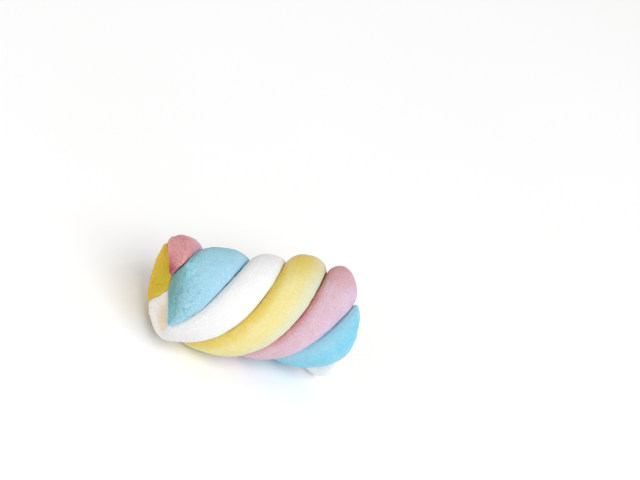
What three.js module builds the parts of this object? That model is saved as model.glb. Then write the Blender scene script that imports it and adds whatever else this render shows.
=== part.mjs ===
// A twisted marshmallow: four soft strands of foam, pink, blue, white and yellow,
// pressed together while warm, wound once round each other and cut off at both ends.
// It lies on its side. Millimetres; +X along the rope, +Z up, z = 0 is the surface it rests on.
//
// Angles round the rope run from +Y towards +Z. Every seam turns by a negative angle along +X,
// which makes the rope left-handed.

import * as THREE from 'three';

// ---- Driving dimensions of the rope ----

const ropeLength = 49.6;
const axisHeight = 14.7; // height of the rope's axis at its two ends
const axisSag = [0.1, -0.4]; // how far the middle of the axis lies off the line of the ends, in y and z
const seamGap = 0.3; // clearance between two strands along a seam
const lobePower = 2.2; // 2 gives an elliptic crest, more a squarer one

// The strands meet along a core of two lines, on either side of the axis, which turn with the rope.
const coreTurn = -360; // degrees over the rope's length
const coreAngle = 64; // degrees, at the left end
const coreOffset = { near: 3.1, far: -0.8 };

// ---- Ends ----

const coreRim = [0.8, 2.6]; // rounding of the left and right cut ends at the core
const endCrown = 0.7; // how far the middle of a cut end stands proud of its rim
const rimBlend = 0.3; // share of a crest, next to each seam, over which the rounding changes

// ---- Seams: angle at the left end, turn and waviness in degrees, and radius at the left end,
// middle and right end ----

const seams = {
  pinkBlue: { angle: 99, turn: -355.5, bow: -1, sway: 3, radius: [10.4, 9.7, 11.5] },
  blueWhite: { angle: 204.5, turn: -376.5, bow: 7, sway: 0, radius: [11.0, 9.4, 10.2] },
  whiteYellow: { angle: 295, turn: -386, bow: 3.5, sway: 4.4, radius: [11.2, 11.4, 11.1] },
  yellowPink: { angle: 21, turn: -387, bow: 20, sway: -1.5, radius: [12.0, 11.5, 11.0] },
};

// ---- Strands: the seams they lie between, crest radius at the left end, middle and right end,
// and how far each end stands out past the rope's length. Each end has three radii of rounding:
// at the strand's first seam, on its crest and at its last seam. ----

const strands = [
  {
    name: 'strand_pink',
    seams: ['yellowPink', 'pinkBlue'],
    core: ['near'],
    crest: [13.6, 14.0, 14.3],
    overhang: [0.4, 0.1],
    rims: [[0.8, 2.0, 0.8], [2.6, 2.8, 2.6]],
    color: 0xe6bccb,
  },
  {
    name: 'strand_blue',
    seams: ['pinkBlue', 'blueWhite'],
    core: ['near', 'far'],
    crest: [12.4, 13.2, 14.8],
    overhang: [-0.5, -0.4],
    rims: [[0.8, 5.0, 0.8], [1.9, 1.0, 2.4]],
    color: 0xa5d8ec,
  },
  {
    name: 'strand_white',
    seams: ['blueWhite', 'whiteYellow'],
    core: ['far'],
    crest: [13.8, 13.3, 16.3],
    overhang: [-0.4, 0],
    rims: [[1.2, 3.2, 0.8], [2.6, 2.0, 2.6]],
    color: 0xfbfaf8,
  },
  {
    name: 'strand_yellow',
    seams: ['whiteYellow', 'yellowPink'],
    core: ['far', 'near'],
    crest: [14.3, 15.1, 15.1],
    overhang: [-0.2, 0],
    rims: [[0.8, 2.4, 0.8], [2.6, 2.8, 2.6]],
    color: 0xf3e5a0,
  },
];

// ---- Fineness of the facets ----

const crestSteps = 14; // round the outside of a strand
const wallSteps = 5; // from a seam in to the core
const coreSteps = 2; // between the two lines of the core
const sideSteps = 44; // along the rope
const rimSteps = 4; // over the rounding of an end
const faceSteps = 3; // from the rounding to the middle of an end

// ---- Helpers ----

const lerp = THREE.MathUtils.lerp;

function polar(radius, angle) {
  return new THREE.Vector2(radius * Math.cos(angle), radius * Math.sin(angle));
}

// The value at t of the parabola through three values, at t = 0, 0.5 and 1.
function through(values, t) {
  const [first, middle, last] = values;
  return first * (1 - t) * (1 - 2 * t) + middle * 4 * t * (1 - t) + last * t * (2 * t - 1);
}

function smoothstep(u) {
  return THREE.MathUtils.smoothstep(u, 0, 1);
}

// ---- Cross-section of a strand ----

function seamAngle(seam, t) {
  const waves = seam.bow * Math.sin(Math.PI * t) + seam.sway * Math.sin(2 * Math.PI * t);
  return THREE.MathUtils.degToRad(seam.angle + seam.turn * t + waves);
}

// The sector that a strand fills at the distance x along the rope.
function sectorAt(strand, x) {
  const t = x / ropeLength;
  const [first, last] = strand.seams.map((name) => seams[name]);
  const from = seamAngle(first, t);
  const fullTurn = 2 * Math.PI;
  const width = (((seamAngle(last, t) - from) % fullTurn) + fullTurn) % fullTurn;
  return {
    t,
    from,
    to: from + width,
    grooves: [through(first.radius, t), through(last.radius, t)],
    crest: through(strand.crest, t),
  };
}

// A line of the core, moved half a gap into the strand.
function corePoint(strand, sector, which) {
  const angle = THREE.MathUtils.degToRad(coreAngle + coreTurn * sector.t);
  const inward = polar(seamGap * 0.75, (sector.from + sector.to) / 2);
  return polar(coreOffset[which], angle).add(inward);
}

// The two edges of a strand's crest, half a gap inside its seams.
function crestEdges(sector) {
  const [first, last] = sector.grooves;
  return [
    { radius: first, angle: sector.from + seamGap / 2 / first },
    { radius: last, angle: sector.to - seamGap / 2 / last },
  ];
}

// A station is a place on a strand's outline: on its crest, on one of its two walls, or on the core.
function outlineStations(strand) {
  const stations = [];
  for (let i = 0; i <= crestSteps; i++) {
    // Cosine spacing puts more steps on the steep sides of the crest.
    const along = (1 - Math.cos((Math.PI * i) / crestSteps)) / 2;
    stations.push({ part: 'crest', along });
  }
  for (let i = 1; i <= wallSteps; i++) {
    stations.push({ part: 'last wall', along: i / wallSteps });
  }
  if (strand.core.length === 2) {
    for (let i = 1; i <= coreSteps; i++) {
      stations.push({ part: 'core', along: i / coreSteps });
    }
  }
  for (let i = wallSteps - 1; i > 0; i--) {
    stations.push({ part: 'first wall', along: i / wallSteps });
  }
  return stations;
}

function outlinePoint(strand, station, x) {
  const sector = sectorAt(strand, x);
  const [first, last] = crestEdges(sector);
  const { part, along } = station;
  if (part === 'crest') {
    const groove = lerp(first.radius, last.radius, along);
    const rise = Math.sqrt(Math.max(0, 1 - Math.abs(2 * along - 1) ** lobePower));
    return polar(lerp(groove, sector.crest, rise), lerp(first.angle, last.angle, along));
  }
  const cores = strand.core.map((which) => corePoint(strand, sector, which));
  const firstCore = cores[0];
  const lastCore = cores[cores.length - 1];
  if (part === 'core') {
    return lastCore.clone().lerp(firstCore, along);
  }
  return part === 'first wall'
    ? polar(first.radius, first.angle).lerp(firstCore, along)
    : polar(last.radius, last.angle).lerp(lastCore, along);
}

// A point well inside a strand, which the rings of its cut ends close towards.
function heartPoint(strand, x) {
  const sector = sectorAt(strand, x);
  const halfWidth = (sector.to - sector.from) / 2;
  const centroidShare = 0.6;
  const distance = (centroidShare * sector.crest * Math.sin(halfWidth)) / halfWidth;
  return polar(distance, (sector.from + sector.to) / 2);
}

// ---- Surface of a strand ----

// Radius of the rounding at an end. On a wall it goes over from that of its seam to that of the core.
function rimRadius(strand, station, end) {
  const [first, crest, last] = strand.rims[end];
  const { part, along } = station;
  if (part === 'core') {
    return coreRim[end];
  }
  if (part !== 'crest') {
    return lerp(part === 'first wall' ? first : last, coreRim[end], along);
  }
  const fromSeam = Math.min(along, 1 - along);
  return lerp(along < 0.5 ? first : last, crest, smoothstep(fromSeam / rimBlend));
}

function endPosition(strand, end) {
  return end === 0 ? -strand.overhang[0] : ropeLength + strand.overhang[1];
}

// A ring of points on a cut end. Over the rim, turn goes from 0 at the side to 1 at the face.
// On the face, inset goes from 0 at the rim to 1 in the middle.
function endRing(strand, stations, end, turn, inset) {
  const face = endPosition(strand, end);
  const inwards = end === 0 ? 1 : -1;
  return stations.map((station) => {
    const rim = rimRadius(strand, station, end);
    const bend = (turn * Math.PI) / 2;
    const crown = endCrown * (1 - (1 - inset) ** 2);
    const x = face + inwards * (rim * (1 - Math.sin(bend)) - crown);
    const heart = heartPoint(strand, x);
    const reach = outlinePoint(strand, station, face).distanceTo(heartPoint(strand, face));
    const share = (1 - (rim * (1 - Math.cos(bend))) / reach) * (1 - inset);
    return { x, section: heart.lerp(outlinePoint(strand, station, x), share) };
  });
}

function sideRing(strand, stations, along) {
  return stations.map((station) => {
    const from = endPosition(strand, 0) + rimRadius(strand, station, 0);
    const to = endPosition(strand, 1) - rimRadius(strand, station, 1);
    const x = lerp(from, to, along);
    return { x, section: outlinePoint(strand, station, x) };
  });
}

// Sets a point of a cross-section on the sagging axis, flattened where it meets the surface below.
function place({ x, section }) {
  const t = x / ropeLength;
  const sag = 4 * t * (1 - t);
  const z = axisHeight + section.y + sag * axisSag[1];
  return new THREE.Vector3(x, section.x + sag * axisSag[0], Math.max(0, z));
}

function strandGeometry(strand) {
  const stations = outlineStations(strand);
  const rings = [];
  for (let i = faceSteps - 1; i > 0; i--) {
    rings.push(endRing(strand, stations, 0, 1, i / faceSteps));
  }
  for (let i = rimSteps; i > 0; i--) {
    rings.push(endRing(strand, stations, 0, i / rimSteps, 0));
  }
  for (let i = 0; i <= sideSteps; i++) {
    rings.push(sideRing(strand, stations, i / sideSteps));
  }
  for (let i = 1; i <= rimSteps; i++) {
    rings.push(endRing(strand, stations, 1, i / rimSteps, 0));
  }
  for (let i = 1; i < faceSteps; i++) {
    rings.push(endRing(strand, stations, 1, 1, i / faceSteps));
  }

  const points = rings.flat().map(place);
  const leftTip = points.length;
  points.push(place(endRing(strand, stations, 0, 1, 1)[0]));
  const rightTip = points.length;
  points.push(place(endRing(strand, stations, 1, 1, 1)[0]));

  const count = stations.length;
  const lastRing = (rings.length - 1) * count;
  const faces = [];
  for (let k = 0; k < count; k++) {
    const next = (k + 1) % count;
    faces.push(leftTip, next, k);
    faces.push(rightTip, lastRing + k, lastRing + next);
    for (let ring = 0; ring < lastRing; ring += count) {
      const [a, b, c, d] = [ring + k, ring + next, ring + count + next, ring + count + k];
      // Each quad is split along its shorter diagonal.
      if (points[a].distanceTo(points[c]) < points[b].distanceTo(points[d])) {
        faces.push(a, b, c, a, c, d);
      } else {
        faces.push(a, b, d, b, c, d);
      }
    }
  }

  const geometry = new THREE.BufferGeometry().setFromPoints(points);
  geometry.setIndex(faces);
  geometry.computeVertexNormals();
  return geometry;
}

// ---- The rope ----

function strandMesh(strand) {
  const material = new THREE.MeshStandardMaterial({
    color: strand.color,
    roughness: 0.85,
    metalness: 0,
  });
  const mesh = new THREE.Mesh(strandGeometry(strand), material);
  mesh.name = strand.name;
  return mesh;
}

const rope = new THREE.Group();
rope.add(...strands.map(strandMesh));

// The origin is under the middle of the rope.
const middle = new THREE.Box3().setFromObject(rope).getCenter(new THREE.Vector3());
rope.position.set(-middle.x, -middle.y, 0);

const marshmallow = new THREE.Group();
marshmallow.add(rope);

export default marshmallow;
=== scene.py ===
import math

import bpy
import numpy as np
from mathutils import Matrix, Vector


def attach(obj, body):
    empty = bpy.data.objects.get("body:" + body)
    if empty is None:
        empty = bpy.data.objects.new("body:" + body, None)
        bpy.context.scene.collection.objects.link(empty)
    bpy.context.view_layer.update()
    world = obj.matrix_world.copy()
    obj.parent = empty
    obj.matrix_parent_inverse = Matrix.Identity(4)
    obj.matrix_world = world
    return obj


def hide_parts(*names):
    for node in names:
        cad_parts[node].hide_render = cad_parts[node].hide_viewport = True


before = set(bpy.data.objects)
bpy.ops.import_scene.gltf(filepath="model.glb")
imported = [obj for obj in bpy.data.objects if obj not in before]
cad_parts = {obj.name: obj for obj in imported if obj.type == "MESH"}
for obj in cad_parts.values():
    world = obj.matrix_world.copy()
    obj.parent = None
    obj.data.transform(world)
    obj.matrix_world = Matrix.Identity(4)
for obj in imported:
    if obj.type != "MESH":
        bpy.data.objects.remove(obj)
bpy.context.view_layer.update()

# The looks of a twisted marshmallow: four strands of foam, pink, blue, white and yellow, wound
# round each other and cut off at both ends. Each gets the lumps, streaks, pores, torn foam and
# starch bloom that its plain solid leaves out.
#
# Lengths are in millimetres, and are scaled to metres where Blender takes them. +X runs along the
# rope from its left end, +Z up, and angles round the rope run from +Y towards +Z.

MILLIMETRE = 0.001

# ---- Driving dimensions of the rope, the same as those of its solids ----

ROPE_LENGTH = 49.6
AXIS_HEIGHT = 14.7  # height of the rope's axis at its two ends
AXIS_SAG = (0.1, -0.4)  # how far the middle of the axis lies off the line of the ends, in y and z
LOBE_POWER = 2.2  # 2 gives an elliptic crest, more a squarer one

# The strands meet along a core of two lines, on either side of the axis, which turn with the rope.
CORE_TURN = -360  # degrees over the rope's length
CORE_ANGLE = 64  # degrees, at the left end
CORE_OFFSET = {"near": 3.1, "far": -0.8}
CORE_CLEARANCE = 0.75  # how far a strand stays off a core line, as a share of the gaps beside it

CORE_RIM = (0.8, 2.6)  # rounding of the left and right cut ends at the core
END_CROWN = 0.7  # how far the middle of a cut end stands proud of its rim
RIM_BLEND = 0.3  # share of a crest, next to each seam, over which the rounding changes

# Angle at the left end, turn, bow and sway in degrees; groove radius at the left end, middle
# and right end.
SEAMS = {
    "pink_blue": dict(angle=99, turn=-355.5, bow=-1, sway=3, radius=(10.4, 9.7, 11.5)),
    "blue_white": dict(angle=204.5, turn=-376.5, bow=7, sway=0, radius=(11.0, 9.4, 10.2)),
    "white_yellow": dict(angle=295, turn=-386, bow=3.5, sway=4.4, radius=(11.2, 11.4, 11.1)),
    "yellow_pink": dict(angle=21, turn=-387, bow=20, sway=-1.5, radius=(12.0, 11.5, 11.0)),
}

# How far each seam gapes at the left and the right end. The solids keep one clearance all along.
GAPS = {
    "pink_blue": (0.08, 0.05),
    "blue_white": (0.15, 0.5),
    "white_yellow": (0.06, 0.06),
    "yellow_pink": (0.06, 0.55),
}

# The seams that each strand lies between, the lines of the core that it reaches, its crest radius
# at the left end, middle and right end, and how far each end stands out past the rope's length.
# Each end is rounded by three radii: at the strand's first seam, on its crest and at its last seam.
STRANDS = {
    "pink": dict(
        seams=("yellow_pink", "pink_blue"),
        core=("near",),
        crest=(13.6, 14.0, 14.3),
        overhang=(0.4, 0.1),
        rims=((0.8, 2.0, 0.8), (2.6, 2.8, 2.6)),
    ),
    "blue": dict(
        seams=("pink_blue", "blue_white"),
        core=("near", "far"),
        crest=(12.4, 13.2, 14.8),
        overhang=(-0.5, -0.4),
        rims=((0.8, 5.0, 0.8), (1.9, 1.0, 2.4)),
    ),
    "white": dict(
        seams=("blue_white", "white_yellow"),
        core=("far",),
        crest=(13.8, 13.3, 16.3),
        overhang=(-0.4, 0),
        rims=((1.2, 3.2, 0.8), (2.6, 2.0, 2.6)),
    ),
    "yellow": dict(
        seams=("white_yellow", "yellow_pink"),
        core=("far", "near"),
        crest=(14.3, 15.1, 15.1),
        overhang=(-0.2, 0),
        rims=((0.8, 2.4, 0.8), (2.6, 2.8, 2.6)),
    ),
}

LEFT, RIGHT = range(2)  # the ends of the rope
CREST, LAST_WALL, CORE, FIRST_WALL = range(4)  # the parts of a strand's outline

# ---- Fineness of the skin ----

CREST_STEPS = 170  # round the outside of a strand
WALL_STEPS = 12  # from a seam in to the core
CORE_STEPS = 5  # between the two lines of the core
SIDE_STEPS = 400  # along the rope
RIM_STEPS = 18  # over the rounding of an end
FACE_STEPS = 26  # from the rounding to the middle of an end


# ---- Cross-section of a strand ----


def lerp(a, b, share):
    return a + (b - a) * share


def smoothstep(share):
    share = np.clip(share, 0, 1)
    return share * share * (3 - 2 * share)


def polar(radius, angle):
    return np.stack([radius * np.cos(angle), radius * np.sin(angle)], -1)


def through(values, t):
    """The parabola through three values, at t = 0, 0.5 and 1."""
    first, middle, last = values
    return first * (1 - t) * (1 - 2 * t) + middle * 4 * t * (1 - t) + last * t * (2 * t - 1)


def seam_angle(seam, t):
    waves = seam["bow"] * np.sin(np.pi * t) + seam["sway"] * np.sin(2 * np.pi * t)
    return np.radians(seam["angle"] + seam["turn"] * t + waves)


class Sector:
    """The sector that a strand fills at the distances x along the rope."""

    def __init__(self, strand, x):
        first, last = (SEAMS[name] for name in strand["seams"])
        self.t = x / ROPE_LENGTH
        self.start = seam_angle(first, self.t)
        self.width = (seam_angle(last, self.t) - self.start) % (2 * np.pi)
        self.middle = self.start + self.width / 2
        self.grooves = [through(seam["radius"], self.t) for seam in (first, last)]
        self.gaps = [lerp(*GAPS[name], self.t) for name in strand["seams"]]
        self.crest = through(strand["crest"], self.t)

    def core(self, which):
        """A line of the core, moved a little into the strand."""
        angle = np.radians(CORE_ANGLE + CORE_TURN * self.t)
        inward = sum(self.gaps) / 2 * CORE_CLEARANCE
        return polar(CORE_OFFSET[which], angle) + polar(inward, self.middle)

    def heart(self):
        """A point well inside the strand, which the rings of its cut ends close towards."""
        half = self.width / 2
        centroid_share = 0.6
        return polar(centroid_share * self.crest * np.sin(half) / half, self.middle)


def stations(strand):
    """Places round a strand's outline: which part each is on, and how far along it."""
    crest = (1 - np.cos(np.pi * np.arange(CREST_STEPS + 1) / CREST_STEPS)) / 2
    wall = np.arange(1, WALL_STEPS + 1) / WALL_STEPS
    rows = [(CREST, crest), (LAST_WALL, wall)]
    if len(strand["core"]) == 2:
        rows.append((CORE, np.arange(1, CORE_STEPS + 1) / CORE_STEPS))
    rows.append((FIRST_WALL, wall[-2::-1]))
    part = np.concatenate([np.full(len(along), name) for name, along in rows])
    return part, np.concatenate([along for _, along in rows])


def outline(strand, places, x):
    """Points of the cross-section at x, whose last axis runs over the stations."""
    part, along = places
    sector = Sector(strand, x)
    first_groove, last_groove = sector.grooves
    first_gap, last_gap = sector.gaps
    first_angle = sector.start + first_gap / 2 / first_groove
    last_angle = sector.start + sector.width - last_gap / 2 / last_groove
    rise = np.sqrt(np.maximum(0, 1 - np.abs(2 * along - 1) ** LOBE_POWER))
    groove = lerp(first_groove, last_groove, along)
    crest = polar(lerp(groove, sector.crest, rise), lerp(first_angle, last_angle, along))
    first_core = sector.core(strand["core"][0])
    last_core = sector.core(strand["core"][-1])
    share = along[:, None]
    choices = {
        CREST: crest,
        LAST_WALL: lerp(polar(last_groove, last_angle), last_core, share),
        CORE: lerp(last_core, first_core, share),
        FIRST_WALL: lerp(polar(first_groove, first_angle), first_core, share),
    }
    points = np.zeros(x.shape + (2,))
    for name, choice in choices.items():
        points = np.where((part == name)[:, None], choice, points)
    return points


# ---- Surface of a strand ----


def rim_radius(strand, places, end):
    """Rounding at an end, which on a wall goes over from that of its seam to that of the core."""
    part, along = places
    first, crest, last = strand["rims"][end]
    core = CORE_RIM[end]
    from_seam = np.minimum(along, 1 - along)
    nearer = np.where(along < 0.5, first, last)
    choices = {
        CREST: lerp(nearer, crest, smoothstep(from_seam / RIM_BLEND)),
        LAST_WALL: lerp(last, core, along),
        FIRST_WALL: lerp(first, core, along),
    }
    return np.select([part == name for name in choices], list(choices.values()), core)


def end_position(strand, end):
    overhang = strand["overhang"][end]
    return -overhang if end == LEFT else ROPE_LENGTH + overhang


def end_rings(strand, places, end, turns, insets):
    """Rings of a cut end: turn goes 0 to 1 over its rim, and inset 0 to 1 over its face."""
    face = end_position(strand, end)
    inwards = 1 if end == LEFT else -1
    rim = rim_radius(strand, places, end)
    bend = turns[:, None] * np.pi / 2
    crown = END_CROWN * (1 - (1 - insets[:, None]) ** 2)
    x = face + inwards * (rim * (1 - np.sin(bend)) - crown)
    at_face = np.full((1, rim.size), face)
    from_heart = outline(strand, places, at_face) - Sector(strand, at_face).heart()
    reach = np.linalg.norm(from_heart, axis=-1)
    share = (1 - rim * (1 - np.cos(bend)) / reach) * (1 - insets[:, None])
    heart = Sector(strand, x).heart()
    return x, lerp(heart, outline(strand, places, x), share[..., None])


def side_rings(strand, places, along):
    left = end_position(strand, LEFT) + rim_radius(strand, places, LEFT)
    right = end_position(strand, RIGHT) - rim_radius(strand, places, RIGHT)
    x = lerp(left, right, along[:, None])
    return x, outline(strand, places, x)


def strand_skin(strand):
    """Rows of points from the middle of the left end to the middle of the right one, and for
    each row how far it lies from the side on to a cut face."""
    places = stations(strand)
    rim = np.arange(1, RIM_STEPS + 1) / RIM_STEPS
    face = np.arange(1, FACE_STEPS) / FACE_STEPS
    turns = np.concatenate([rim, np.ones(len(face))])
    insets = np.concatenate([np.zeros(len(rim)), face])
    side = np.linspace(0, 1, SIDE_STEPS + 1)
    left = end_rings(strand, places, LEFT, turns[::-1], insets[::-1])
    right = end_rings(strand, places, RIGHT, turns, insets)
    rows = [left, side_rings(strand, places, side), right]
    x = np.concatenate([row[0] for row in rows])
    section = np.concatenate([row[1] for row in rows])
    cut = np.concatenate([turns[::-1], np.zeros(len(side)), turns])
    return places, x, section, cut


def end_middle(strand, places, end):
    x, section = end_rings(strand, places, end, np.ones(1), np.ones(1))
    return x[0, :1], section[0, :1]


def on_the_rope(x, section):
    """Sets cross-sections on the sagging axis."""
    t = x / ROPE_LENGTH
    sag = 4 * t * (1 - t)
    y = section[..., 0] + sag * AXIS_SAG[0]
    z = section[..., 1] + sag * AXIS_SAG[1] + AXIS_HEIGHT
    return np.stack([x, y, z], -1)


# ---- Noise ----


class Noise:
    """Seeded gradient noise and pits in three dimensions."""

    SIZE = 256
    STRENGTH = 1.6  # brings the gradient noise to about -1 to 1

    def __init__(self, seed):
        random = np.random.default_rng(seed)
        self.order = np.tile(random.permutation(self.SIZE), 2)
        directions = random.normal(size=(self.SIZE, 3))
        self.gradients = directions / np.linalg.norm(directions, axis=1, keepdims=True)
        self.jitter = random.random((self.SIZE, 3))
        self.chance = random.random(self.SIZE)

    def corner(self, cell):
        """The number of a cell's draws, from 0 to SIZE - 1."""
        i, j, k = (cell[..., axis] % self.SIZE for axis in range(3))
        return self.order[self.order[self.order[i] + j] + k]

    def smooth(self, points):
        """Gradient noise, about -1 to 1, with features one unit across."""
        base = np.floor(points).astype(int)
        inside = points - base
        fade = inside**3 * (inside * (inside * 6 - 15) + 10)
        total = 0
        for offset in np.ndindex(2, 2, 2):
            step = np.array(offset)
            slope = self.gradients[self.corner(base + step)]
            weight = np.where(step, fade, 1 - fade).prod(-1)
            total = total + weight * (slope * (inside - step)).sum(-1)
        return total * self.STRENGTH

    def layers(self, points, layers):
        """A sum of layers of smooth noise. Each has its height, the width of its features, and a
        shift that sets it apart from the others."""
        return sum(height * self.smooth(points / width + shift) for height, width, shift in layers)

    def pits(self, points, spacing, size, share, shift=0):
        """1 in the middle of a scattered pit and 0 outside. A share of the cells, one spacing
        wide, has a pit with a radius of up to size times the spacing."""
        points = points / spacing + shift
        base = np.floor(points).astype(int)
        depth = np.zeros(points.shape[:-1])
        for offset in np.ndindex(3, 3, 3):
            cell = base + np.array(offset) - 1
            mark = self.corner(cell)
            distance = np.linalg.norm(cell + self.jitter[mark] - points, axis=-1)
            radius = size * (0.5 + 0.5 * self.jitter[mark, 0])
            pit = smoothstep(1 - distance / radius) * (self.chance[mark] < share)
            depth = np.maximum(depth, pit)
        return depth


# ---- Relief of the foam ----

# Layers of noise: height, width and shift.
LUMPS = ((0.16, 6.5, 0), (0.07, 2.6, 9))
GRAIN = ((0.036, 0.9, 0), (0.03, 0.5, 0))
TORN_FOAM = ((0.1, 1.4, 57), (0.07, 0.7, 3))

CRUMBLY_LENGTH = 10  # the grain is coarser over this length from the left end
CRUMBLING = 1.6  # how much coarser it gets

STREAK_WIDTH = 1.1
STREAK_LENGTH = 16
STREAK_SHIFT = 31
STREAK_HEIGHT = 0.06
FINER_STREAKS = (2.3, 2, 1)  # how much finer the second streaks are, across, along and in depth
FINER_STREAK_HEIGHT = 0.035

PORES = dict(spacing=1.5, size=0.42, share=0.35)
PORE_DEPTH = 0.09
PORE_STRENGTH = 0.5  # how strongly a pore of the skin gets painted shade, beside a bubble of a cut face
BUBBLES = dict(spacing=1.1, size=0.5, share=0.6)
SMALL_BUBBLES = dict(spacing=0.62, size=0.5, share=0.6, shift=17)
SMALL_BUBBLE_STRENGTH = 0.7
BUBBLE_DEPTH = 0.22

BROKEN_LENGTH = 7  # the skin is torn open in spots over this length from the left end
BREAKING = 1.4  # how readily it tears there
BROKEN_DEPTH = 0.12

SKIN_TURN = 0.45  # how far over a crest's rim the skin reaches, before the cut face starts
TEAR = (0.35, 0.1)  # how ragged the edge of the skin is at the left and the right end
TEAR_START = 3  # the edge is fully ragged once the rim has turned by one part in this many
TATTER = (1.2, 0.75, 0.75)  # size of the tatters at that edge, along the rope and across it
FINE_TATTER = 0.45
FINE_TATTER_STRENGTH = 0.4
TATTER_SHIFTS = (71, 5)


def raggedness(points, noise):
    """How well the skin holds, about -1 to 1: it tears open where this is low."""
    coarse_shift, fine_shift = TATTER_SHIFTS
    coarse = noise.smooth(points / TATTER + coarse_shift)
    return coarse + FINE_TATTER_STRENGTH * noise.smooth(points / FINE_TATTER + fine_shift)


def streaks(across, along, noise):
    """Height of the streaks drawn along a strand."""
    drawn = np.stack([across / STREAK_WIDTH, along / STREAK_LENGTH, np.zeros_like(along)], -1)
    coarse = STREAK_HEIGHT * noise.smooth(drawn + STREAK_SHIFT)
    return coarse + FINER_STREAK_HEIGHT * noise.smooth(drawn * FINER_STREAKS)


def relief(points, fields, noise):
    """Height of the fine surface over the smooth one, in millimetres, and how far into a pore,
    which sets its painted shade, and into a torn spot of the skin each point lies, from 0 to 1."""
    along = fields["along"]
    cut = smoothstep(fields["cut"])
    crumbling = 1 + CRUMBLING * smoothstep(1 - along / CRUMBLY_LENGTH)
    lumps_and_grain = noise.layers(points, LUMPS) + noise.layers(points, GRAIN) * crumbling
    pores = noise.pits(points, **PORES)
    on_skin = streaks(fields["across"], along, noise) - PORE_DEPTH * pores
    bubbles = noise.pits(points, **BUBBLES)
    small_bubbles = noise.pits(points, **SMALL_BUBBLES)
    bubbles = np.maximum(bubbles, SMALL_BUBBLE_STRENGTH * small_bubbles)
    on_cut = noise.layers(points, TORN_FOAM) - BUBBLE_DEPTH * bubbles
    broken = smoothstep(1 - along / BROKEN_LENGTH) * smoothstep(-BREAKING * fields["ragged"])
    broken = broken * (1 - cut)
    height = lumps_and_grain + lerp(on_skin, on_cut, cut) - BROKEN_DEPTH * broken
    return height, lerp(PORE_STRENGTH * pores, bubbles, cut), broken


# ---- Meshes ----


def grid_faces(rows, columns):
    """Quads between neighbouring rows of points, each row closed into a ring."""
    column = np.arange(columns)
    start = np.arange(rows - 1)[:, None] * columns
    a = start + column
    b = start + (column + 1) % columns
    return np.stack([a, b, b + columns, a + columns], -1).reshape(-1, 4)


def fan_faces(middle, start, columns, flip):
    """Triangles between the middle of an end and the row of points next to it."""
    column = np.arange(columns)
    here = start + column
    following = start + (column + 1) % columns
    middles = np.full(columns, middle)
    order = [middles, here, following] if flip else [middles, following, here]
    return np.stack(order, -1)


def skin_faces(rows, columns):
    """Faces of the closed skin, whose points are the rows and then the middles of both ends."""
    left_middle = rows * columns
    last_row = left_middle - columns
    faces = grid_faces(rows, columns).tolist()
    faces += fan_faces(left_middle, 0, columns, False).tolist()
    faces += fan_faces(left_middle + 1, last_row, columns, True).tolist()
    return faces


def skin_fields(strand, places, x, cut, ragged):
    """What is known of each point on the skin, from 0 to 1 but for across and along.

    crest is whether it lies on the strand's outside, seam how near a seam it lies, side how far
    from the strand's first seam to its last, cut how far it has turned on to a cut face, and bare
    how bare of skin it is. across and along are its distances round and along the rope."""
    part, share = places
    on_crest = part == CREST
    cut = cut[:, None]
    sector = Sector(strand, x)
    tear = lerp(*TEAR, x / ROPE_LENGTH) * ragged[: x.size].reshape(x.shape)
    tear = tear * smoothstep(TEAR_START * cut)
    skin_turn = np.where(on_crest, SKIN_TURN, 0)
    # Values over the rows of points, and then those in the middles of both ends.
    fields = {
        "crest": (on_crest, (1, 1)),
        "seam": (np.where(on_crest, np.abs(2 * share - 1), 1), (1, 1)),
        "side": (np.where(on_crest, share, part == LAST_WALL), (0.5, 0.5)),
        "cut": (cut, (1, 1)),
        "bare": (smoothstep((cut - tear - skin_turn) / (1 - skin_turn)), (1, 1)),
        "across": (sector.width * sector.crest * np.where(on_crest, share, 0), (0, 0)),
        "along": (x, (0, ROPE_LENGTH)),
    }
    return {
        name: np.append(np.broadcast_to(rows, x.shape).ravel(), middles)
        for name, (rows, middles) in fields.items()
    }


def vertex_normals(mesh):
    normals = np.zeros(len(mesh.vertices) * 3)
    mesh.vertex_normals.foreach_get("vector", normals)
    return normals.reshape(-1, 3)


def strand_mesh(name, strand, noise):
    """A strand's smooth mesh, the points of its fine surface, and the fields of those points."""
    places, x, section, cut = strand_skin(strand)
    skin = on_the_rope(x, section).reshape(-1, 3)
    middles = [on_the_rope(*end_middle(strand, places, end)) for end in (LEFT, RIGHT)]
    points = np.concatenate([skin, *middles])
    mesh = bpy.data.meshes.new(name)
    mesh.from_pydata(points * MILLIMETRE, [], skin_faces(*x.shape))

    ragged = raggedness(points, noise)
    fields = skin_fields(strand, places, x, cut, ragged)
    fields["ragged"] = ragged
    height, fields["pore"], fields["broken"] = relief(points, fields, noise)
    # The walls inside the rope stay smooth.
    shown = np.maximum(fields["crest"], smoothstep(fields["cut"]))
    points = points + vertex_normals(mesh) * (height * shown)[:, None]
    points[:, 2] = np.maximum(points[:, 2], 0)
    return mesh, points, fields


# ---- Shaders ----


def linear(red, green, blue):
    """A colour given as 0 to 255 in the screen's own scale, as linear light."""

    def channel(value):
        value /= 255
        return value / 12.92 if value <= 0.04045 else ((value + 0.055) / 1.055) ** 2.4

    return (channel(red), channel(green), channel(blue), 1)


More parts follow.
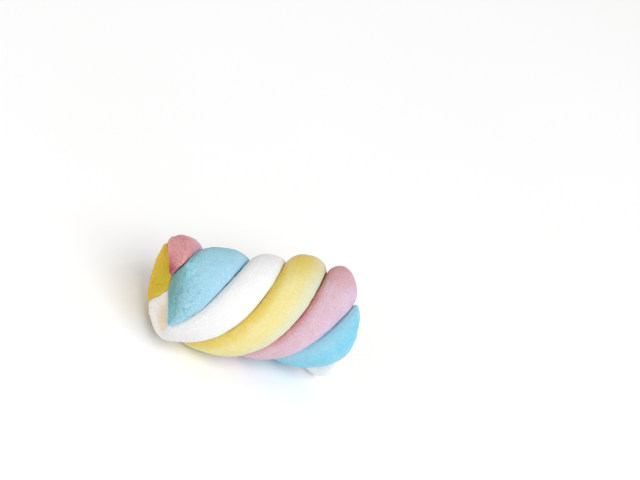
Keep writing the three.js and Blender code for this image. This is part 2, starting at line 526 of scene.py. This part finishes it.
class Shader:
    """A material's node tree, with short calls for the nodes used here."""

    COLOUR_INPUTS = slice(6, 8)  # the two colours that a Mix node mixes
    COLOUR_OUTPUT = 2

    def __init__(self, name):
        self.material = bpy.data.materials.new(name)
        self.material.use_nodes = True
        self.tree = self.material.node_tree
        self.tree.nodes.clear()

    def node(self, kind, **settings):
        node = self.tree.nodes.new(kind)
        for name, value in settings.items():
            setattr(node, name, value)
        return node

    def link(self, source, target):
        self.tree.links.new(source, target)

    def feed(self, sockets, values):
        """Sets each socket to its value, or links it to the output that is given for it."""
        for socket, value in zip(sockets, values):
            if isinstance(value, bpy.types.NodeSocket):
                self.link(value, socket)
            else:
                socket.default_value = value

    def field(self, name):
        return self.node("ShaderNodeAttribute", attribute_name=name).outputs["Fac"]

    def place(self):
        return self.node("ShaderNodeTexCoord").outputs["Object"]

    def noise(self, vector, scale, detail, roughness=0.5):
        node = self.node("ShaderNodeTexNoise")
        sockets = [node.inputs[name] for name in ("Vector", "Scale", "Detail", "Roughness")]
        self.feed(sockets, (vector, scale, detail, roughness))
        return node.outputs["Fac"]

    def ramp(self, value, span, strengths=(0, 1)):
        """Goes smoothly from the first strength to the second while the value crosses the span."""
        node = self.node("ShaderNodeMapRange", interpolation_type="SMOOTHSTEP")
        names = ("Value", "From Min", "From Max", "To Min", "To Max")
        self.feed([node.inputs[name] for name in names], (value, *span, *strengths))
        return node.outputs["Result"]

    def math(self, operation, *values):
        node = self.node("ShaderNodeMath", operation=operation)
        self.feed(node.inputs, values)
        return node.outputs[0]

    def multiply(self, first, second):
        return self.math("MULTIPLY", first, second)

    def larger(self, first, second):
        return self.math("MAXIMUM", first, second)

    def vector_math(self, operation, *values):
        node = self.node("ShaderNodeVectorMath", operation=operation)
        self.feed(node.inputs, values)
        return node.outputs["Value" if operation in ("DOT_PRODUCT", "LENGTH") else "Vector"]

    def mix(self, share, first, second, blend="MIX"):
        node = self.node("ShaderNodeMix", data_type="RGBA", blend_type=blend)
        sockets = [node.inputs["Factor"], *node.inputs[self.COLOUR_INPUTS]]
        self.feed(sockets, (share, first, second))
        return node.outputs[self.COLOUR_OUTPUT]

    def show(self, surface):
        """Makes a shader node the material's surface."""
        output = self.node("ShaderNodeOutputMaterial")
        self.link(surface.outputs["BSDF"], output.inputs["Surface"])


# ---- Foam ----

# Noise textures, with their scales in features for each metre.
MOTTLE = dict(scale=260, detail=4)
SPECK = dict(scale=1900, detail=3, roughness=0.6)
FINE_SPECK = dict(scale=4800, detail=2)

# Spans along the rope, from its left end.
BODY_DRIFT = (5, 45)  # where the left body colour goes over into the right one
SHADE_DRIFT = (10, 40)  # and the left colour of the painted shade into the right one
SHADED_LEFT_END = (0, 12)  # where the left end gets painted shade and stronger pores, most of all at the very end
LIT_SIDE_START = (3, 14)  # where the painted light of the last side comes up, as the left end's painted shade fades

# Spans across a strand, from 0 at its first seam to 1 at its last.
# The side towards the last seam, which faces the key light, gets painted light.
LIT_SIDE = (0.4, 0.95)
FAR_SIDE_FADE = (0.3, 0.9)

CREASE_SHADE_EDGE = (0.88, 1)  # nearness to a seam at which the painted shade of the crease comes in
FAR_SIDE = (0, 0.75, 0.65)  # the direction of the rope's far side, which gets painted shade
FAR_DISTANCE = (5, 13)  # how far from the axis in that direction the painted shade comes in
HEART_START = 0.36  # the part of the heart's reach that is wholly of its colour

# Spans of noise, or of a field, over which each comes up. The specks' pores come up as it falls.
DUSTED = (0.4, 0.75)
BROKEN = (0, 0.6)
SPECK_PORES = (0.62, 0.36)
MODELLED_PORES = (0.1, 0.9)
STARCH_GRAINS = (0.5, 0.8)
ROUGH_SPAN = (0.3, 0.7)

# How strong each gets.
# Strength of the painted light on the side that faces the key light.
PAINTED_LIGHT = 0.85
# Strength of the painted shade in the creases.
CREASE_SHADE = 0.5
# Strength of the painted shade on the rope's far side.
FAR_SHADE = 0.75
FAR_SHADE_LEFT = 0.4  # the share of it that is left at the strand's last seam
DUST = 0.2
BROKEN_STRENGTH = 0.75
RIGHT_FACE_PALENESS = 0.4  # how far the right cut face takes the colour of the body, out of the left end's painted shade
BARENESS = 0.95  # how far the colour of a cut face hides that of the skin
LEFT_PORES = 1.6  # how much stronger the specks' pores are at the left end
GRAIN_STRENGTH = 0.22
BARE_GRAINS = 0.4  # the share of the starch grains that a cut face has
PORE_SHADE = (0.55, 0.55, 0.55, 1)  # the painted shade in a pore: what it multiplies the colour by
ROUGHNESS = (0.72, 0.92)

# Uniform values of the foam's surface.
FOAM_SURFACE = {
    "Subsurface Weight": 0.35,
    "Subsurface Radius": (1.0, 0.8, 0.7),
    "Subsurface Scale": 1.2 * MILLIMETRE,
    "Specular IOR Level": 0.25,
    "Sheen Weight": 0.07,
    "Sheen Roughness": 0.6,
}
BUMP_STRENGTH = 0.35
BUMP_HEIGHT = 0.12
FINE_BUMP = 0.6  # strength of the fine specks, beside the coarse ones

# The fields that a strand's mesh carries for its foam.
FOAM_FIELDS = ("seam", "side", "along", "bare", "pore", "broken")

# The looks of each strand. A pair of colours holds those at the left and the right end.
# body: the skin.
# shade_colour: painted shade on the skin, along the strand's first seam, at its left end, in the
# creases and on the rope's far side.
# lit_colour: painted light on the skin towards its last seam, the side that faces the key light.
# bloom: the starch on it.
# torn: the spots where the skin is torn open.
# face, heart: the cut faces, whose colour is partly that of the cut foam and partly painted
# shade of the left end, and their painted shade near the rope's heart.
# heart_place, heart_reach: where that painted shade is centred, in y and z off the axis, and its
# reach. For the white strand it lies beside the blue one.
# heart_width: how much the distance in y counts in that reach. Less than 1 makes the tint wider.
# first_seam_shade: how strong the painted shade is along the first seam, at the left and the
# right end.
# seam_spread: the share of the strand's width over which that fades.
# left_end_shade: how much painted shade the skin gets at the left end, which faces away from
# the light.
# speck_shade, hollow_shade: how dark the painted shade is in the pores of the specks, and in
# those of the mesh.
FOAMS = {
    "pink": dict(
        body=(linear(214, 178, 191), linear(215, 183, 197)),
        shade_colour=(linear(212, 140, 144), linear(212, 140, 144)),
        lit_colour=linear(211, 187, 214),
        bloom=linear(234, 218, 230),
        torn=linear(226, 152, 156),
        face=linear(230, 162, 162),
        heart=linear(168, 30, 34),
        heart_place=(0, 0),
        heart_reach=10.2,
        heart_width=1,
        first_seam_shade=(0.7, 0.85),
        seam_spread=0.22,
        left_end_shade=0.95,
        speck_shade=0.2,
        hollow_shade=0.6,
    ),
    "blue": dict(
        body=(linear(160, 208, 229), linear(128, 203, 231)),
        shade_colour=(linear(139, 196, 207), linear(162, 212, 228)),
        lit_colour=linear(166, 211, 234),
        bloom=linear(190, 226, 240),
        torn=linear(116, 178, 184),
        face=linear(132, 190, 198),
        heart=linear(106, 158, 154),
        heart_place=(0, 0),
        heart_reach=11,
        heart_width=1,
        first_seam_shade=(0.85, 0.75),
        seam_spread=0.42,
        left_end_shade=0.3,
        speck_shade=0.18,
        hollow_shade=0.5,
    ),
    "white": dict(
        body=(linear(233, 233, 234), linear(245, 247, 250)),
        shade_colour=(linear(224, 225, 227), linear(232, 231, 231)),
        lit_colour=linear(238, 240, 244),
        bloom=linear(246, 246, 246),
        torn=linear(230, 228, 226),
        face=linear(250, 245, 240),
        heart=linear(232, 219, 190),
        heart_place=(-9.5, -3.6),
        heart_reach=6,
        heart_width=0.6,
        first_seam_shade=(0.3, 0.3),
        seam_spread=0.42,
        left_end_shade=0.8,
        speck_shade=0.08,
        hollow_shade=0.2,
    ),
    "yellow": dict(
        body=(linear(231, 218, 148), linear(229, 218, 150)),
        shade_colour=(linear(221, 191, 48), linear(221, 191, 48)),
        lit_colour=linear(212, 221, 204),
        bloom=linear(236, 234, 196),
        torn=linear(222, 190, 70),
        face=linear(222, 184, 34),
        heart=linear(206, 180, 12),
        heart_place=(0, 0),
        heart_reach=11,
        heart_width=1,
        first_seam_shade=(0.7, 1.0),
        seam_spread=0.28,
        left_end_shade=0.8,
        speck_shade=0.1,
        hollow_shade=0.42,
    ),
}


class FoamShader(Shader):
    """Marshmallow foam under a starch bloom, with the looks of one strand."""

    def __init__(self, name, looks):
        super().__init__(name)
        self.looks = looks
        place = self.place()
        self.from_axis = self.vector_math("SUBTRACT", place, (0, 0, AXIS_HEIGHT * MILLIMETRE))
        self.mottle = self.noise(place, **MOTTLE)
        self.speck = self.noise(place, **SPECK)
        self.fine_speck = self.noise(place, **FINE_SPECK)
        self.seam, self.side, self.along, self.bare, self.pore, self.broken = (
            self.field(name) for name in FOAM_FIELDS
        )

    def depth(self):
        """How much painted shade the skin gets: most along its first seam, which faces away from
        the key light, in the crease of any seam, at the left end and on the rope's far side."""
        # Painted shade along the first seam, on the side that faces away from the key light.
        spread = self.ramp(self.side, (0, self.looks["seam_spread"]), (1, 0))
        first_seam_shade = self.ramp(self.along, SHADE_DRIFT, self.looks["first_seam_shade"])
        # Painted shade at the left end, which faces away from the light.
        left_end_shade = self.ramp(self.along, SHADED_LEFT_END, (self.looks["left_end_shade"], 0))
        # Painted shade in the crease of each seam.
        crease_shade = self.ramp(self.seam, CREASE_SHADE_EDGE, (0, CREASE_SHADE))
        # Painted shade on the rope's far side.
        far = self.vector_math("DOT_PRODUCT", self.from_axis, FAR_SIDE)
        far_span = [distance * MILLIMETRE for distance in FAR_DISTANCE]
        back = self.ramp(far, far_span, (0, FAR_SHADE))
        back = self.multiply(back, self.ramp(self.side, FAR_SIDE_FADE, (1, FAR_SHADE_LEFT)))
        depth = self.multiply(spread, first_seam_shade)
        for other in (left_end_shade, crease_shade, back):
            depth = self.larger(depth, other)
        return depth

    def skin(self):
        """Colour of the skin, with its starch bloom and torn spots."""
        looks = self.looks
        colour = self.mix(self.ramp(self.along, BODY_DRIFT), *looks["body"])
        # Painted light on the side towards the last seam, which faces the key light.
        painted_light = self.ramp(self.side, LIT_SIDE, (0, PAINTED_LIGHT))
        shown = self.ramp(self.along, LIT_SIDE_START, (1 - looks["left_end_shade"], 1))
        colour = self.mix(self.multiply(painted_light, shown), colour, looks["lit_colour"])
        # The colour of the painted shade, which drifts along the rope.
        shade_colour = self.mix(self.ramp(self.along, SHADE_DRIFT), *looks["shade_colour"])
        colour = self.mix(self.depth(), colour, shade_colour)
        colour = self.mix(self.ramp(self.mottle, DUSTED, (0, DUST)), colour, looks["bloom"])
        broken = self.ramp(self.broken, BROKEN, (0, BROKEN_STRENGTH))
        return self.mix(broken, colour, looks["torn"])

    def cut_face(self):
        """Colour of the cut faces, partly their own and partly painted shade of the left end, with
        painted shade that comes in near the rope's heart.
        """
        looks = self.looks
        y, z = looks["heart_place"]
        reach = looks["heart_reach"] * MILLIMETRE
        heart = (0, y * MILLIMETRE, z * MILLIMETRE)
        from_heart = self.vector_math("SUBTRACT", self.from_axis, heart)
        from_heart = self.vector_math("MULTIPLY", from_heart, (0, looks["heart_width"], 1))
        distance = self.vector_math("LENGTH", from_heart)
        # Painted shade near the rope's heart.
        near_heart = self.ramp(distance, (HEART_START * reach, reach), (1, 0))
        colour = self.mix(near_heart, looks["face"], looks["heart"])
        towards_body = self.ramp(self.along, SHADE_DRIFT, (0, RIGHT_FACE_PALENESS))
        return self.mix(towards_body, colour, looks["body"][RIGHT])

    def pores(self):
        """How dark the painted shade in the pores is, both in those of the specks and in those of
        the mesh.
        """
        specks = self.multiply(self.ramp(self.speck, SPECK_PORES), self.looks["speck_shade"])
        specks = self.multiply(specks, self.ramp(self.along, SHADED_LEFT_END, (LEFT_PORES, 1)))
        mesh_pore_shade = self.ramp(self.pore, MODELLED_PORES, (0, self.looks["hollow_shade"]))
        return self.larger(specks, mesh_pore_shade)

    def starch_grains(self):
        """How white with grains of starch the foam is."""
        grains = self.ramp(self.speck, STARCH_GRAINS, (0, GRAIN_STRENGTH))
        return self.multiply(grains, self.ramp(self.bare, (0, 1), (1, BARE_GRAINS)))

    def colour(self):
        bare = self.multiply(self.bare, BARENESS)
        colour = self.mix(bare, self.skin(), self.cut_face())
        # Painted shade in the pores.
        colour = self.mix(self.pores(), colour, PORE_SHADE, blend="MULTIPLY")
        return self.mix(self.starch_grains(), colour, self.looks["bloom"])

    def normal(self):
        """Normals bumped by the specks."""
        bump = self.node("ShaderNodeBump")
        bump.inputs["Strength"].default_value = BUMP_STRENGTH
        bump.inputs["Distance"].default_value = BUMP_HEIGHT * MILLIMETRE
        height = self.math("ADD", self.speck, self.multiply(self.fine_speck, FINE_BUMP))
        self.link(height, bump.inputs["Height"])
        return bump.outputs["Normal"]


def foam(colour):
    """The foam of the strand of that colour."""
    shader = FoamShader(colour + "_foam", FOAMS[colour])
    surface = shader.node("ShaderNodeBsdfPrincipled", subsurface_method="RANDOM_WALK")
    for name, value in FOAM_SURFACE.items():
        surface.inputs[name].default_value = value
    shader.link(shader.colour(), surface.inputs["Base Color"])
    shader.link(shader.ramp(shader.mottle, ROUGH_SPAN, ROUGHNESS), surface.inputs["Roughness"])
    shader.link(shader.normal(), surface.inputs["Normal"])
    shader.show(surface)
    return shader.material


# ---- The strands ----

FIRST_SEED = 11


def add_fields(mesh, fields):
    for name in FOAM_FIELDS:
        attribute = mesh.attributes.new(name, "FLOAT", "POINT")
        attribute.data.foreach_set("value", fields[name].astype(np.float32))


built = {}
for number, (colour, strand) in enumerate(STRANDS.items()):
    noise = Noise(FIRST_SEED + number)
    built[colour] = strand_mesh("marshmallow_" + colour, strand, noise)

# The origin is under the middle of the rope.
every_point = np.concatenate([points for _, points, _ in built.values()])
middle = (every_point.min(0) + every_point.max(0)) / 2 * (1, 1, 0)

for colour, (mesh, points, fields) in built.items():
    mesh.vertices.foreach_set("co", ((points - middle) * MILLIMETRE).ravel())
    add_fields(mesh, fields)
    mesh.shade_smooth()
    mesh.update()
    piece = bpy.data.objects.new("marshmallow_" + colour, mesh)
    bpy.context.scene.collection.objects.link(piece)
    mesh.materials.append(foam(colour))
    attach(piece, "root")
    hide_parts("strand_" + colour)

# ---- Floor ----

FLOOR_SIZE = 3000
FLOOR_COLOURS = (linear(250, 251, 252), linear(252, 253, 255))
FLOOR_CLOUDS = dict(scale=6, detail=2)
FLOOR_CLOUD_SPAN = (0.3, 0.7)


def floor_material():
    shader = Shader("floor")
    surface = shader.node("ShaderNodeBsdfDiffuse")
    clouds = shader.noise(shader.place(), **FLOOR_CLOUDS)
    colour = shader.mix(shader.ramp(clouds, FLOOR_CLOUD_SPAN), *FLOOR_COLOURS)
    shader.link(colour, surface.inputs["Color"])
    shader.show(surface)
    return shader.material


bpy.ops.mesh.primitive_plane_add(size=FLOOR_SIZE * MILLIMETRE, location=(0, 0, 0))
floor = bpy.context.object
floor.name = "floor"
floor.data.materials.append(floor_material())

# ---- Camera ----

PICTURE = (640, 480)  # pixels
PICTURE_SCALE = 3.853  # pixels for each millimetre at the rope
ROPE_IN_PICTURE = (252.6, 303.6)  # the pixel where the middle of the rope's axis shows
CAMERA_DISTANCE = 600
CAMERA_AZIMUTH = math.radians(-32.7)
CAMERA_ELEVATION = math.radians(40)
CAMERA_ROLL = math.radians(33.4)
SENSOR_WIDTH = 36


def camera_axes():
    """The camera's right, up and forward directions."""
    heading = -CAMERA_AZIMUTH
    level = Vector((math.cos(heading), -math.sin(heading), 0))
    ahead = Vector((math.sin(heading), math.cos(heading), 0))
    vertical = Vector((0, 0, 1))
    upright = ahead * math.sin(CAMERA_ELEVATION) + vertical * math.cos(CAMERA_ELEVATION)
    forward = ahead * math.cos(CAMERA_ELEVATION) - vertical * math.sin(CAMERA_ELEVATION)
    right = level * math.cos(CAMERA_ROLL) + upright * math.sin(CAMERA_ROLL)
    up = upright * math.cos(CAMERA_ROLL) - level * math.sin(CAMERA_ROLL)
    return right, up, forward


def add_camera(target):
    """A camera that shows the target at the rope's place in the picture."""
    right, up, forward = camera_axes()
    width, height = PICTURE
    column, row = ROPE_IN_PICTURE
    sideways = (width / 2 - column) / PICTURE_SCALE
    upwards = (row - height / 2) / PICTURE_SCALE
    position = target - forward * CAMERA_DISTANCE
    aim = target + right * sideways + up * upwards
    towards = (aim - position).normalized()
    right = towards.cross(up).normalized()
    up = right.cross(towards)
    data = bpy.data.cameras.new("camera")
    data.sensor_width = SENSOR_WIDTH
    data.lens = SENSOR_WIDTH * PICTURE_SCALE * CAMERA_DISTANCE / width
    camera = bpy.data.objects.new("camera", data)
    bpy.context.scene.collection.objects.link(camera)
    turn = Matrix((right, up, -towards)).transposed().to_4x4()
    camera.matrix_world = Matrix.Translation(position * MILLIMETRE) @ turn
    bpy.context.scene.camera = camera


axis_middle = Vector((ROPE_LENGTH / 2, 0, AXIS_HEIGHT)) + Vector((0, *AXIS_SAG))
add_camera(axis_middle - Vector(middle))

# ---- Light ----

# Directions are in the camera's own axes: right, up and back towards the camera. Powers are in
# watts.
LIGHTS = {
    "key": dict(
        direction=(0.55, 0.08, 0.83),
        distance=1500,
        size=1000,
        power=13.3,
        colour=(0.97, 0.99, 1.0),
    ),
    "fill": dict(
        direction=(-0.85, 0.1, 0.5),
        distance=1500,
        size=900,
        power=4.0,
        colour=(1.0, 0.94, 0.89),
    ),
}
WORLD_COLOUR = (1, 0.97, 0.94, 1)
WORLD_STRENGTH = 0.64


def add_light(name, direction, distance, size, power, colour):
    """A square light that faces the rope."""
    right, up, forward = camera_axes()
    x, y, z = direction
    outwards = (right * x + up * y - forward * z).normalized()
    data = bpy.data.lights.new(name, "AREA")
    data.size = size * MILLIMETRE
    data.energy = power
    data.color = colour
    light = bpy.data.objects.new(name, data)
    bpy.context.scene.collection.objects.link(light)
    light.location = outwards * (distance * MILLIMETRE)
    light.rotation_euler = outwards.to_track_quat("Z", "Y").to_euler()


def add_world():
    """Pale surroundings, which light the shaded sides."""
    world = bpy.data.worlds.new("studio")
    world.use_nodes = True
    background = world.node_tree.nodes["Background"]
    background.inputs["Color"].default_value = WORLD_COLOUR
    background.inputs["Strength"].default_value = WORLD_STRENGTH
    bpy.context.scene.world = world


for name, light in LIGHTS.items():
    add_light(name, **light)
add_world()
bpy.context.scene.view_settings.view_transform = "Standard"
